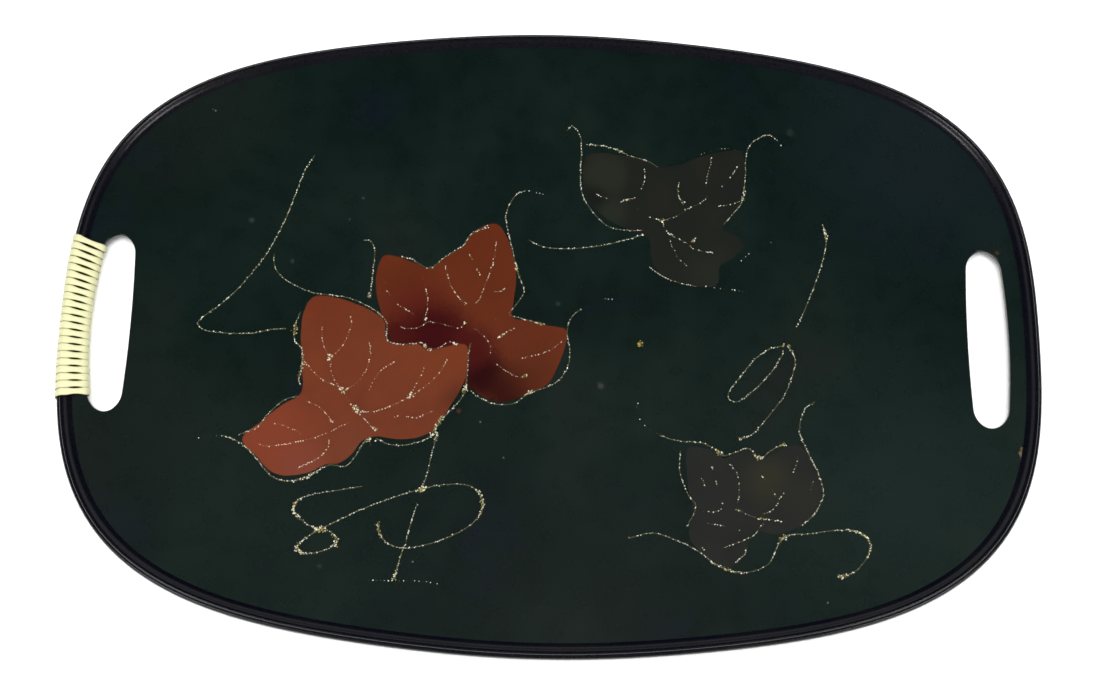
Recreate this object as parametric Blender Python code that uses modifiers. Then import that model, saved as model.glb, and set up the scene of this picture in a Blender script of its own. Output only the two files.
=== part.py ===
"""Lacquered serving tray: an oval panel with two hand slots, a moulded rim, one cane-wrapped grip,
painted leaves and raised glitter strokes. Metres, +Z up, origin at the middle of the underside."""
import bpy
import bmesh
from math import atan2, cos, pi, radians, sin, sqrt
from mathutils import Vector

MM = 0.001
GAP = 0.3 * MM

# plan of the tray: a squared-off oval, half sizes of its outermost edge
HALF_LENGTH = 250.0 * MM
HALF_DEPTH = 166.1 * MM
OVAL_POWER = 3.25
OVAL_SWELL = 0.0174
OVAL_STEPS = 96
TANGENT_STEP = 0.001

# heights
PLATEAU_BOTTOM = 0.0
PANEL_BOTTOM = 4.5 * MM
PANEL_TOP = 8.5 * MM
LEAF_THICK = 0.2 * MM
STROKE_RADIUS = 0.4 * MM
LEAF_BOTTOM = PANEL_TOP + GAP
STROKE_HEIGHT = LEAF_BOTTOM + LEAF_THICK + GAP + STROKE_RADIUS

# insets from the outermost edge
RIM_WIDTH = 7.4 * MM
PANEL_INSET = RIM_WIDTH + GAP
PLATEAU_INSET = 52.0 * MM

# hand slots, on the +X side (1) and the -X side (-1); both long edges bow outwards,
# and the slot beside the wrapped grip reaches further out, to leave room for the cane
SLOT_LENGTH = 94.0 * MM
SLOT_END_RADIUS = 9.5 * MM
SLOT_INNER_X = {1: 213.4 * MM, -1: 214.7 * MM}
SLOT_INNER_BOW = 0.71
SLOT_OUTER_X = {1: 234.3 * MM, -1: 236.4 * MM}
SLOT_OUTER_BOW = 1.34
SLOT_END_STEPS = 8
SLOT_SIDE_STEPS = 6

# cane wrap on the -X grip
WRAP_TURNS = 22
WRAP_WIDTH = 3.1 * MM
WRAP_THICK = 0.55 * MM
WRAP_CLEAR = 0.35 * MM
WRAP_SLOT_START = 39.7 * MM
WRAP_SLOT_END = -40.3 * MM
WRAP_RIM_START = 46.4 * MM
WRAP_RIM_END = -40.8 * MM
WRAP_EDGE_HEIGHTS = (4.15, 8.9)

# the wrap's way from the slot over the rim and back, as (inset, height) in millimetres
WRAP_SECTION = [
    (3.7, 11.85), (2.3, 11.8), (0.4, 9.6), (-0.35, 8.1), (-0.2, 6.1), (1.1, 4.5), (3.0, 3.3),
    (6.0, 2.7), (11.0, 2.6),
]

# rim section as (inset, height) in millimetres, from the rebate round the outside and back
RIM_SECTION = [
    (7.4, 4.2), (7.4, 8.75), (6.3, 9.15), (5.2, 10.0), (4.4, 11.0), (3.6, 11.55), (2.8, 11.6),
    (2.3, 11.1), (2.0, 9.6), (1.6, 9.3), (0.9, 9.2), (0.3, 8.6), (0.0, 7.6), (0.3, 6.2),
    (1.4, 4.8), (3.2, 3.7), (6.0, 3.1), (11.0, 3.0), (11.0, 4.2),
]

END_PIECE = 1.0 * MM

# the rim's four lengths, each between two directions from the centre in degrees
RIM_LENGTHS = {
    "rim_right_grip": (-15.0, 15.0),
    "rim_far_side": (15.0, 165.0),
    "rim_left_grip": (165.0, 195.0),
    "rim_near_side": (195.0, 345.0),
}

# leaf outlines in millimetres, seen from above
FRONT_LEAF = [
    (-126, 8), (-121, 15.5), (-110, 15), (-100, 12), (-91, 8), (-85, 3), (-83, -7), (-75, -9.5),
    (-67, -9), (-62, -12), (-54, -10.5), (-47, -8.5), (-42, -10), (-41.5, -22), (-44.5, -32),
    (-50, -42), (-57, -53), (-65, -57.5), (-75, -58.7), (-86, -57.5), (-93, -60), (-98, -67),
    (-104, -71.5), (-110, -72), (-119, -76.5), (-130, -78.3), (-138, -76), (-145, -69), (-153, -60),
    (-143, -50), (-134, -42), (-125, -35.5), (-125.5, -20), (-127, -5),
]
BACK_LEAF = [
    (-86, 6), (-89.5, 18), (-90, 29), (-87, 38), (-80, 38), (-70, 34.5), (-63, 32), (-55, 38),
    (-46, 44), (-42, 51), (-36, 55.5), (-29, 57), (-24, 51), (-20, 40), (-18, 28), (-19, 15),
    (-19, 6), (-10, 4.8), (-1, 2.3), (8, 0.3), (8, -8), (4, -20), (-1, -29), (-9, -33), (-16, -36.5),
    (-24, -38.5), (-32, -36.5), (-39, -32), (-50, -25), (-60, -22), (-76, -18),
]
UPPER_DARK_LEAF = [
    (17.5, 96), (25, 98), (36, 96.5), (46, 95), (55, 91), (66, 92), (77, 96.5), (88, 99.5), (99, 100),
    (100.3, 88), (99, 74), (94, 64), (89, 57), (96, 52.5), (100, 48), (94, 40.5), (87, 36),
    (85.5, 26), (74, 24.8), (64, 27), (56, 31.5), (51.5, 40), (50, 51), (38, 56), (27, 62), (19, 72),
    (15.5, 84),
]
LOWER_DARK_LEAF = [
    (70, -61), (78, -60.3), (84, -61.5), (88, -65.5), (95, -62), (101, -61), (106, -66), (112, -63),
    (120, -58.5), (126, -58), (131, -64), (136, -75), (136, -86), (129, -96), (120, -101), (112, -103),
    (104, -101), (100, -105), (98.5, -112), (92, -119), (83, -117.5), (75, -111.5), (70.5, -104),
    (72.5, -92), (70, -78),
]

# raised strokes of glitter paste, each a list of points in millimetres
STROKES = {
    "vine_far_left": [
        (-126, 93), (-129, 88), (-132, 80), (-138, 60), (-144, 45), (-150, 34), (-160, 20),
        (-170, 9.5), (-177, 4), (-180, 0), (-176, -3.7), (-165, -5), (-152, -4.8), (-142, -2.6),
        (-134.5, -2),
    ],
    "vine_over_front_leaf": [
        (-143.5, 38), (-143, 32), (-139, 26), (-132, 21.5), (-122, 17.5), (-111, 16.2),
        (-103, 14.8), (-94, 11), (-87, 6.5), (-83.3, 1), (-83, -6.5), (-78, -9.2), (-70, -8.8),
        (-65.5, -8), (-62.5, -11),
    ],
    "hook_left_of_back_leaf": [(-97.5, 46.5), (-94, 46), (-91.6, 41), (-91.8, 30), (-93, 15)],
    "front_leaf_left_edge": [
        (-128, 7), (-130, 0), (-130, -8), (-126, -13), (-125.5, -22), (-126.7, -28), (-125.5, -32),
    ],
    "front_leaf_tip_edge": [(-126, -37.5), (-133, -39.5), (-141, -47), (-146, -54), (-155, -58)],
    "front_leaf_lower_edge": [
        (-163, -58.5), (-154, -62), (-146, -69), (-138, -78), (-130, -81), (-120, -79), (-110, -73),
        (-105, -72.7), (-100.5, -73), (-96, -68), (-92, -61), (-88.5, -59.3),
    ],
    "front_leaf_right_edge": [
        (-86, -58.5), (-80, -61.2), (-73, -61.7), (-65, -60), (-58.5, -56.5), (-54.5, -49),
        (-49, -43), (-43.5, -36), (-41.8, -28), (-41, -12), (-39.8, -7.5),
    ],
    "stem_upper": [(-56, -58.5), (-58, -67), (-60, -77), (-61, -81)],
    "stem_middle": [(-64, -91), (-67, -102), (-69, -111.2)],
    "stem_foot": [(-70.5, -115.3), (-72.5, -123), (-74, -129)],
    "scroll_large": [
        (-83, -100.5), (-82, -106), (-78, -111), (-70, -113.3), (-60, -111.7), (-49, -108),
        (-38, -101.8), (-32, -94), (-33, -86), (-39, -81.5), (-50, -81.2), (-62, -83.7),
        (-78, -89), (-92, -94.8), (-108, -103),
    ],
    "scroll_small_loop": [
        (-115, -107), (-119.5, -110.5), (-122.5, -114), (-118, -117), (-108, -115), (-103, -111),
        (-105, -107), (-108.5, -105.3),
    ],
    "scroll_small_tail": [
        (-114.5, -104), (-120, -101), (-125, -96), (-123.5, -91), (-116, -87.5), (-104, -85.3),
        (-91, -82.8),
    ],
    "back_leaf_top_edge": [
        (-77, 37.8), (-72, 36.5), (-67, 33.5), (-62, 32.3), (-54, 39), (-46, 44.5), (-42, 51),
        (-33, 55.5),
    ],
    "vine_centre": [
        (-14, 76), (-19.5, 73), (-23.5, 65), (-23.7, 57), (-20, 42), (-17.5, 31), (-13.8, 21),
        (-17, 14), (-21, 8), (-15, 5.8), (-3, 2.8),
    ],
    "back_leaf_right_edge": [
        (15.5, 11.5), (11, 7), (8.8, 0), (10.2, -11), (9.5, -19), (5, -26.5), (-2, -30.7),
        (-10, -33.5), (-17, -38.8), (-26, -39.8), (-34, -37), (-39.5, -33),
    ],
    "upper_leaf_left_edge": [
        (7, 110.3), (9.5, 112.7), (13, 109), (14.7, 102), (14.5, 80), (18, 69), (28, 57.5),
        (38, 54.8), (47.5, 55),
    ],
    "vine_to_upper_leaf": [
        (-12, 48.5), (-7, 45.7), (0, 44.2), (12, 44.2), (28, 46.6), (40, 50), (47.5, 52.8),
    ],
    "upper_leaf_top_edge": [(17, 102.5), (26, 101.8), (34, 99.5), (40, 96.5), (49, 94), (55, 90.3)],
    "upper_leaf_right_edge": [
        (118, 107), (113, 109.7), (105, 105.5), (101.5, 98), (100.7, 84), (99, 72), (93, 63.5),
        (89, 59),
    ],
    "upper_leaf_lower_edge": [(51, 34.5), (58, 29.7), (66, 26.5), (75, 24.8)],
    "vine_far_right": [(141, 59.5), (142.3, 50), (139, 36), (133.5, 21), (129, 10), (125.8, 3.5)],
    "bow_loop": [
        (119.5, -6), (112, -8), (104, -14), (96, -24), (91, -31), (91.5, -35), (96, -35.7),
        (104, -29.5), (112, -21), (117.5, -12.5),
    ],
    "bow_tail": [
        (121.5, -6), (124.8, -13), (123.5, -21), (119, -32), (111, -43), (102, -53), (95.5, -55),
    ],
    "lower_leaf_right_edge": [
        (134, -35.5), (129, -39.5), (126.2, -50), (129.5, -60), (135, -72), (137.3, -82),
        (133, -92), (125.5, -99),
    ],
    "scroll_under_lower_leaf": [
        (143, -123.5), (151, -121), (158, -113.5), (159.5, -106), (154, -101), (144, -100.3),
        (130, -102.3), (119, -103.5), (114.5, -108), (110, -117), (103, -121), (94, -122),
        (84, -118.5), (74, -111.5), (62, -106), (52, -103.5), (40, -106.5),
    ],
    "lower_leaf_top_edge": [
        (56, -54), (65, -56.7), (77, -57.6), (84, -60.8), (88, -63.8), (94, -62), (100.5, -60),
        (106, -65), (112, -60.5), (119, -57),
    ],
    "lower_leaf_left_edge": [(66.5, -62), (66, -72), (70, -83.5), (74, -90), (69.5, -100)],
}
SPOT_PLACE = (46.0 * MM, -6.5 * MM)
SPOT_RADIUS = 1.8 * MM
SPOT_HEIGHT = 0.6 * MM


def clear_scene():
    for item in list(bpy.data.objects):
        bpy.data.objects.remove(item, do_unlink=True)


def new_collection(name):
    collection = bpy.data.collections.new(name)
    bpy.context.scene.collection.children.link(collection)
    return collection


def new_material(name, color, roughness, metallic=0.0):
    material = bpy.data.materials.new(name)
    material.use_nodes = True
    shader = material.node_tree.nodes["Principled BSDF"]
    shader.inputs["Base Color"].default_value = (*color, 1.0)
    shader.inputs["Roughness"].default_value = roughness
    shader.inputs["Metallic"].default_value = metallic
    return material


def oval_radius(turn):
    """Distance from the centre to the outermost edge in the direction of turn."""
    along = abs(cos(turn)) / (HALF_LENGTH / (1 + OVAL_SWELL))
    across = abs(sin(turn)) / (HALF_DEPTH / (1 + OVAL_SWELL))
    radius = (along ** OVAL_POWER + across ** OVAL_POWER) ** (-1 / OVAL_POWER)
    return radius * (1 + OVAL_SWELL * cos(4 * turn))


def oval_point(turn, inset=0.0):
    """Point on the oval drawn parallel to the outermost edge, inset towards the centre."""
    start = turn - TANGENT_STEP
    end = turn + TANGENT_STEP
    before = Vector((cos(start), sin(start))) * oval_radius(start)
    after = Vector((cos(end), sin(end))) * oval_radius(end)
    edge = (before + after) / 2
    tangent = (after - before).normalized()
    return edge + Vector((-tangent.y, tangent.x)) * inset


def oval_outline(inset):
    return [oval_point(2 * pi * step / OVAL_STEPS, inset) for step in range(OVAL_STEPS)]


def rim_x(y):
    """Distance along X to the outermost edge at a given y near the end of the tray."""
    x = HALF_LENGTH
    for _ in range(8):
        radius = oval_radius(atan2(y, x))
        x = sqrt(radius * radius - y * y)
    return x


def slot_inner_x(y, side):
    return SLOT_INNER_X[side] + SLOT_INNER_BOW * y * y


def slot_outer_x(y, side):
    return SLOT_OUTER_X[side] - SLOT_OUTER_BOW * y * y


def slot_x(y, across, side):
    """Place across the slot at a given y, from -1 at the inner edge to +1 at the outer edge."""
    middle = (slot_outer_x(y, side) + slot_inner_x(y, side)) / 2
    half_width = (slot_outer_x(y, side) - slot_inner_x(y, side)) / 2
    return middle + half_width * across


def grip_edge_x(y):
    """Edge of the wrapped grip bar along the slot, following the slot's round ends."""
    past_straight = max(0.0, abs(y) - (SLOT_LENGTH / 2 - SLOT_END_RADIUS))
    return slot_x(y, sqrt(1 - (past_straight / SLOT_END_RADIUS) ** 2), -1)


def slot_outline(side):
    """Barrel-shaped slot with round ends, on the side given by +1 or -1."""
    reach = SLOT_LENGTH / 2 - SLOT_END_RADIUS
    offsets = []
    for half in (1, -1):
        for step in range(SLOT_END_STEPS + 1):
            turn = pi * step / SLOT_END_STEPS
            offsets.append((half * cos(turn), half * (reach + SLOT_END_RADIUS * sin(turn))))
        for step in range(1, SLOT_SIDE_STEPS):
            offsets.append((-half, half * reach * (1 - 2 * step / SLOT_SIDE_STEPS)))
    return [Vector((side * slot_x(y, across, side), y)) for across, y in offsets]


def grown(points, distance):
    """The same outline, moved outwards by distance; the outline runs clockwise."""
    result = []
    for index, point in enumerate(points):
        before = points[index - 1]
        after = points[(index + 1) % len(points)]
        tangent = (after - before).normalized()
        result.append(point + Vector((-tangent.y, tangent.x)) * distance)
    return result


def add_curve(name, points, collection, cyclic, smooth):
    """A curve object through points given as 2D vectors in metres."""
    data = bpy.data.curves.new(name, "CURVE")
    data.resolution_u = 2
    data.render_resolution_u = 0
    kind = "BEZIER" if smooth else "POLY"
    spline = data.splines.new(kind)
    if smooth:
        spline.bezier_points.add(len(points) - 1)
        for knot, point in zip(spline.bezier_points, points):
            knot.co = (point[0], point[1], 0.0)
            knot.handle_left_type = "AUTO"
            knot.handle_right_type = "AUTO"
    else:
        spline.points.add(len(points) - 1)
        for knot, point in zip(spline.points, points):
            knot.co = (point[0], point[1], 0.0, 1.0)
    spline.use_cyclic_u = cyclic
    curve = bpy.data.objects.new(name, data)
    collection.objects.link(curve)
    return curve


def add_plate(name, points, bottom, top, collection, smooth=False):
    """A flat plate of the given outline between two heights."""
    plate = add_curve(name, points, collection, True, smooth)
    plate.data.dimensions = "2D"
    plate.data.fill_mode = "BOTH"
    plate.data.extrude = (top - bottom) / 2
    plate.location.z = (top + bottom) / 2
    return plate


def as_mesh(curve, collection):
    """Replaces a curve object by its mesh, with its place kept in the mesh object's matrix."""
    name = curve.name
    bpy.context.view_layer.update()
    evaluated = curve.evaluated_get(bpy.context.evaluated_depsgraph_get())
    mesh = bpy.data.meshes.new_from_object(evaluated)
    place = curve.matrix_world.copy()
    bpy.data.objects.remove(curve, do_unlink=True)
    clean = bmesh.new()
    clean.from_mesh(mesh)
    bmesh.ops.remove_doubles(clean, verts=clean.verts, dist=0.001 * MM)
    bmesh.ops.recalc_face_normals(clean, faces=clean.faces)
    clean.to_mesh(mesh)
    clean.free()
    solid = bpy.data.objects.new(name, mesh)
    solid.matrix_world = place
    collection.objects.link(solid)
    return solid


def combine(target, tool, operation):
    modifier = target.modifiers.new(tool.name, "BOOLEAN")
    modifier.operation = operation
    modifier.solver = "EXACT"
    modifier.object = tool
    tool.hide_render = True
    tool.display_type = "WIRE"


def build_panel(tray, cutters, material):
    """Pressed panel: an oval plate with a plateau under it and a slot at each end."""
    outline = oval_outline(PANEL_INSET)
    panel = as_mesh(add_plate("pressed_panel", outline, PANEL_BOTTOM, PANEL_TOP, tray), tray)
    overlap = 1.0 * MM
    foot_outline = oval_outline(PLATEAU_INSET)
    foot = add_plate("plateau_shape", foot_outline, PLATEAU_BOTTOM, PANEL_BOTTOM + overlap, cutters)
    combine(panel, as_mesh(foot, cutters), "UNION")
    for side, name in ((-1, "slot_cutter_left"), (1, "slot_cutter_right")):
        cutter = add_plate(name, slot_outline(side), 0.0, 2 * PANEL_TOP, cutters)
        combine(panel, as_mesh(cutter, cutters), "DIFFERENCE")
    panel.data.materials.append(material)
    return panel


def rim_route(first, last):
    """Points of the outermost edge between two directions in degrees, short of both by half a gap.
    A short piece at each end sets the cut square to the edge."""
    half_gap = GAP / 2 / HALF_LENGTH
    start = radians(first) + half_gap
    end = radians(last) - half_gap
    steps = round(OVAL_STEPS * (last - first) / 360)
    turns = [start + (end - start) * step / steps for step in range(steps + 1)]
    turns.insert(1, start + END_PIECE / HALF_LENGTH)
    turns.insert(-1, end - END_PIECE / HALF_LENGTH)
    return [oval_point(turn) for turn in turns]


def build_rim(tray, cutters, material):
    """Rim moulding: a section swept round the oval, with a rebate that takes the panel's edge."""
    section_points = [(-inset * MM, height * MM) for inset, height in RIM_SECTION]
    section = add_curve("rim_section", section_points, cutters, True, False)
    section.data.dimensions = "2D"
    section.data.fill_mode = "NONE"
    for name, (first, last) in RIM_LENGTHS.items():
        path = add_curve(name, rim_route(first, last), tray, False, False)
        path.data.bevel_mode = "OBJECT"
        path.data.bevel_object = section
        path.data.use_fill_caps = True
        rim = as_mesh(path, tray)
        rim.data.materials.append(material)
    bpy.data.objects.remove(section, do_unlink=True)


def wrap_section(slot_y, rim_y):
    """Points of one turn round the grip, as vectors, from the slot's lower edge over the rim."""
    edge_inset = rim_x(rim_y) - grip_edge_x(abs(slot_y) + WRAP_WIDTH / 2) + WRAP_CLEAR
    section = [(edge_inset, height * MM) for height in WRAP_EDGE_HEIGHTS]
    section += [(inset * MM, height * MM) for inset, height in WRAP_SECTION]
    points = []
    for inset, height in section:
        share = inset / edge_inset
        y = rim_y + (slot_y - rim_y) * share
        points.append(Vector((-(rim_x(rim_y) - inset), y, height)))
    return points


def build_wrap(tray, material):
    """Cane strand wound round the -X grip: one flat ribbon, thickened outwards."""
    corners = len(wrap_section(0.0, 0.0))
    total = WRAP_TURNS * corners
    form = bmesh.new()
    route = []
    for step in range(total):
        advance = step / (total - 1)
        slot_y = WRAP_SLOT_START + (WRAP_SLOT_END - WRAP_SLOT_START) * advance
        rim_y = WRAP_RIM_START + (WRAP_RIM_END - WRAP_RIM_START) * advance
        route.append(form.verts.new(wrap_section(slot_y, rim_y)[step % corners]))
    for start, end in zip(route, route[1:]):
        form.edges.new((start, end))
    swept = bmesh.ops.extrude_edge_only(form, edges=list(form.edges))
    moved = [item for item in swept["geom"] if isinstance(item, bmesh.types.BMVert)]
    bmesh.ops.translate(form, verts=moved, vec=(0.0, -WRAP_WIDTH, 0.0))
    bmesh.ops.translate(form, verts=form.verts, vec=(0.0, WRAP_WIDTH / 2, 0.0))
    mesh = bpy.data.meshes.new("cane_wrap")
    form.to_mesh(mesh)
    form.free()
    wrap = bpy.data.objects.new("cane_wrap", mesh)
    tray.objects.link(wrap)
    skin = wrap.modifiers.new("thickness", "SOLIDIFY")
    skin.thickness = WRAP_THICK
    skin.offset = -1.0
    skin.use_even_offset = True
    mesh.materials.append(material)
    return wrap


def build_leaves(tray, cutters, materials):
    """Four painted leaves as thin films lying just over the panel."""
    plans = {
        "leaf_front": (FRONT_LEAF, materials["orange_lacquer"]),
        "leaf_back": (BACK_LEAF, materials["red_lacquer"]),
        "leaf_dark_upper": (UPPER_DARK_LEAF, materials["bronze_lacquer"]),
        "leaf_dark_lower": (LOWER_DARK_LEAF, materials["bronze_lacquer"]),
    }
    for name, (outline, material) in plans.items():
        points = [Vector(point) * MM for point in outline]
        film = add_plate(name, points, LEAF_BOTTOM, LEAF_BOTTOM + LEAF_THICK, tray, smooth=True)
        film = as_mesh(film, tray)
        film.data.materials.append(material)
        if name == "leaf_back":
            mask_points = grown([Vector(point) * MM for point in FRONT_LEAF], GAP)
            mask = add_plate("front_leaf_mask", mask_points, PANEL_TOP, 2 * PANEL_TOP, cutters, True)
            combine(film, as_mesh(mask, cutters), "DIFFERENCE")


def build_strokes(tray, material):
    """Raised strokes of glitter paste."""
    for name, route in STROKES.items():
        points = [Vector(point) * MM for point in route]
        stroke = add_curve(name, points, tray, False, True)
        stroke.data.dimensions = "3D"
        stroke.data.bevel_depth = STROKE_RADIUS
        stroke.data.bevel_resolution = 0
        stroke.data.use_fill_caps = True
        stroke.location.z = STROKE_HEIGHT
        stroke.data.materials.append(material)


def build_spot(tray, material):
    """A small round dab of gold paste."""
    form = bmesh.new()
    bmesh.ops.create_cone(form, cap_ends=True, segments=16, radius1=SPOT_RADIUS,
                          radius2=0.7 * SPOT_RADIUS, depth=SPOT_HEIGHT)
    mesh = bpy.data.meshes.new("gold_spot")
    form.to_mesh(mesh)
    form.free()
    spot = bpy.data.objects.new("gold_spot", mesh)
    spot.location = (*SPOT_PLACE, PANEL_TOP + GAP + SPOT_HEIGHT / 2)
    tray.objects.link(spot)
    mesh.materials.append(material)


def main():
    clear_scene()
    tray = new_collection("lacquered_tray")
    cutters = new_collection("cutters")
    materials = {
        "green_black_lacquer": new_material("green_black_lacquer", (0.012, 0.022, 0.021), 0.35),
        "black_lacquer": new_material("black_lacquer", (0.006, 0.006, 0.010), 0.25),
        "cane": new_material("cane", (0.86, 0.81, 0.50), 0.5),
        "orange_lacquer": new_material("orange_lacquer", (0.32, 0.055, 0.018), 0.4),
        "red_lacquer": new_material("red_lacquer", (0.20, 0.022, 0.010), 0.4),
        "bronze_lacquer": new_material("bronze_lacquer", (0.035, 0.031, 0.022), 0.4),
        "glitter_paste": new_material("glitter_paste", (0.62, 0.55, 0.34), 0.3, 0.8),
    }
    build_panel(tray, cutters, materials["green_black_lacquer"])
    build_rim(tray, cutters, materials["black_lacquer"])
    build_wrap(tray, materials["cane"])
    build_leaves(tray, cutters, materials)
    build_strokes(tray, materials["glitter_paste"])
    build_spot(tray, materials["glitter_paste"])


main()
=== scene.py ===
import math
import random
import bpy
import bmesh
from mathutils import Euler, Matrix, Vector, noise


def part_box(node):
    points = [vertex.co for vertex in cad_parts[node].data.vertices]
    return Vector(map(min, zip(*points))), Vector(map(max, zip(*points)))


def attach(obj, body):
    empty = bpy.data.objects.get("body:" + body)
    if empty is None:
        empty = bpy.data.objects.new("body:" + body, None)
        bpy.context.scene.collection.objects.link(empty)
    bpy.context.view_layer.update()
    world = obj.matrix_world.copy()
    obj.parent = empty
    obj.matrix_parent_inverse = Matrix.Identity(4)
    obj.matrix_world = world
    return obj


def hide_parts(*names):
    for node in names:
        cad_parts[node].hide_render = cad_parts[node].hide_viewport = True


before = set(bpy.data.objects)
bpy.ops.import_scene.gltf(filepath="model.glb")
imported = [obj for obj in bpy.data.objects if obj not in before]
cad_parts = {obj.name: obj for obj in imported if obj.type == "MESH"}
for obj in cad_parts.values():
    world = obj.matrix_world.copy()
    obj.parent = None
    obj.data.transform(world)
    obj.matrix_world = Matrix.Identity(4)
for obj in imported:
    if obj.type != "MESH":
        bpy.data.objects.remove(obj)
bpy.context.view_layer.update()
print("frame loaded")

mm = 0.001
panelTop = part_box("pressed_panel")[1].z      # the painted face
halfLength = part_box("rim_right_grip")[1].x
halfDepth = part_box("rim_far_side")[1].y


# camera and studio

cameraSet = dict(lens=52.8, sensor=36.0, tilt=16.0, lean=0.216, roll=1.101, away=0.824, up=-9.26 * mm)
studioSet = dict(floorSize=2.0, floorColour="#f4f4f2", horizon="#e8eaec", dusk="#15171a", zenith="#737679",
                 worldStrength=0.8)
lampSet = {
    # name: (place, size across, size up, watts, shows in gloss); the top lamp is cross-polarised,
    # as for lacquer work, so it lights the paint without showing in it
    "softboxTop": ((0.0, 0.0, 2.0), 2.4, 1.8, 92.0, False),
    "softboxLeft": ((-0.95, -0.85, 1.25), 0.6, 0.4, 6.5, True),
    "softboxRight": ((0.95, -0.85, 1.25), 0.6, 0.4, 6.5, True),
}


def linear(hexColour):
    channels = []
    for start in (1, 3, 5):
        value = int(hexColour[start:start + 2], 16) / 255
        channels.append(value / 12.92 if value <= 0.04045 else ((value + 0.055) / 1.055) ** 2.4)
    return (*channels, 1.0)


def addNode(tree, kind, settings=None, links=None):
    # one node with its settings; settings and links are keyed by socket name or number
    made = tree.nodes.new(kind)
    for key, value in (settings or {}).items():
        if isinstance(key, str) and hasattr(made, key):
            setattr(made, key, value)
        else:
            made.inputs[key].default_value = value
    for key, source in (links or {}).items():
        tree.links.new(source, made.inputs[key])
    return made


def newMaterial(name):
    material = bpy.data.materials.new(name)
    material.use_nodes = True
    tree = material.node_tree
    return material, tree, tree.nodes["Principled BSDF"]


def rampStops(ramp, stops):
    # stops are (position, hex colour), first to last
    band = ramp.color_ramp
    while len(band.elements) > 1:
        band.elements.remove(band.elements[-1])
    band.elements[0].position = stops[0][0]
    band.elements[0].color = linear(stops[0][1])
    for position, colour in stops[1:]:
        band.elements.new(position).color = linear(colour)
    return ramp


def makeCamera():
    data = bpy.data.cameras.new("camera")
    data.lens = cameraSet["lens"]
    data.sensor_width = cameraSet["sensor"]
    data.clip_start = 0.01
    camera = bpy.data.objects.new("camera", data)
    turn = Euler([math.radians(cameraSet[key]) for key in ("tilt", "lean", "roll")], "ZYX")
    camera.rotation_mode = "ZYX"
    camera.rotation_euler = turn
    camera.location = turn.to_matrix() @ Vector((0.0, cameraSet["up"], cameraSet["away"]))
    camera.location.z += panelTop
    bpy.context.scene.collection.objects.link(camera)
    bpy.context.scene.camera = camera


def makeStudio():
    bm = bmesh.new()
    bmesh.ops.create_grid(bm, x_segments=1, y_segments=1, size=studioSet["floorSize"])
    mesh = bpy.data.meshes.new("studioFloor")
    bm.to_mesh(mesh)
    bm.free()
    floor = bpy.data.objects.new("studioFloor", mesh)
    bpy.context.scene.collection.objects.link(floor)
    material, tree, shader = newMaterial("paleCard")
    shader.inputs["Base Color"].default_value = linear(studioSet["floorColour"])
    shader.inputs["Roughness"].default_value = 0.9
    mesh.materials.append(material)

    world = bpy.data.worlds.new("studio")
    world.use_nodes = True
    bpy.context.scene.world = world
    tree = world.node_tree
    coords = addNode(tree, "ShaderNodeTexCoord")
    split = addNode(tree, "ShaderNodeSeparateXYZ", links={0: coords.outputs["Generated"]})
    sky = rampStops(addNode(tree, "ShaderNodeValToRGB", links={"Fac": split.outputs["Z"]}), [
        (0.0, studioSet["horizon"]), (0.1, studioSet["horizon"]), (0.45, studioSet["dusk"]),
        (0.93, studioSet["dusk"]), (1.0, studioSet["zenith"]),
    ])
    tree.links.new(sky.outputs["Color"], tree.nodes["Background"].inputs["Color"])
    tree.nodes["Background"].inputs["Strength"].default_value = studioSet["worldStrength"]

    for name, (place, across, high, watts, glossy) in lampSet.items():
        data = bpy.data.lights.new(name, "AREA")
        data.shape = "RECTANGLE"
        data.size = across
        data.size_y = high
        data.energy = watts
        lamp = bpy.data.objects.new(name, data)
        lamp.location = place
        lamp.visible_glossy = glossy
        lamp.rotation_euler = (-Vector(place)).to_track_quat("-Z", "Y").to_euler()
        bpy.context.scene.collection.objects.link(lamp)
    bpy.context.scene.view_settings.view_transform = "Standard"


makeCamera()
makeStudio()
print("camera and studio set")


# the tray's plan: a squared-off oval

ovalSet = dict(power=3.25, swell=0.0174, steps=288)
slotSet = dict(length=94.0 * mm, endRadius=9.5 * mm, innerX={1: 213.4 * mm, -1: 214.7 * mm}, innerBow=0.71,
               outerX={1: 234.3 * mm, -1: 236.4 * mm}, outerBow={1: 1.34, -1: 2.1}, endSteps=20, sideSteps=12)


def edgeRadius(turn):
    along = abs(math.cos(turn)) * (1 + ovalSet["swell"]) / halfLength
    across = abs(math.sin(turn)) * (1 + ovalSet["swell"]) / halfDepth
    radius = (along ** ovalSet["power"] + across ** ovalSet["power"]) ** (-1 / ovalSet["power"])
    return radius * (1 + ovalSet["swell"] * math.cos(4 * turn))


def edgePoint(turn, inset, height):
    before = Vector((math.cos(turn - 0.001), math.sin(turn - 0.001), 0)) * edgeRadius(turn - 0.001)
    after = Vector((math.cos(turn + 0.001), math.sin(turn + 0.001), 0)) * edgeRadius(turn + 0.001)
    forward = (after - before).normalized()
    inward = Vector((-forward.y, forward.x, 0))
    return (before + after) / 2 + inward * inset + Vector((0, 0, height))


def ovalRing(inset, height):
    steps = ovalSet["steps"]
    return [edgePoint(2 * math.pi * step / steps, inset, height) for step in range(steps)]


def rimX(y):
    x = halfLength
    for _ in range(8):
        x = math.sqrt(edgeRadius(math.atan2(y, x)) ** 2 - y * y)
    return x


def slotMiddle(y, side):
    ends = slotSet["innerX"][side] + slotSet["outerX"][side]
    return (ends + (slotSet["innerBow"] - slotSet["outerBow"][side]) * y * y) / 2


def slotHalfWidth(y, side):
    width = slotSet["outerX"][side] - slotSet["innerX"][side]
    return (width - (slotSet["innerBow"] + slotSet["outerBow"][side]) * y * y) / 2


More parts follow.
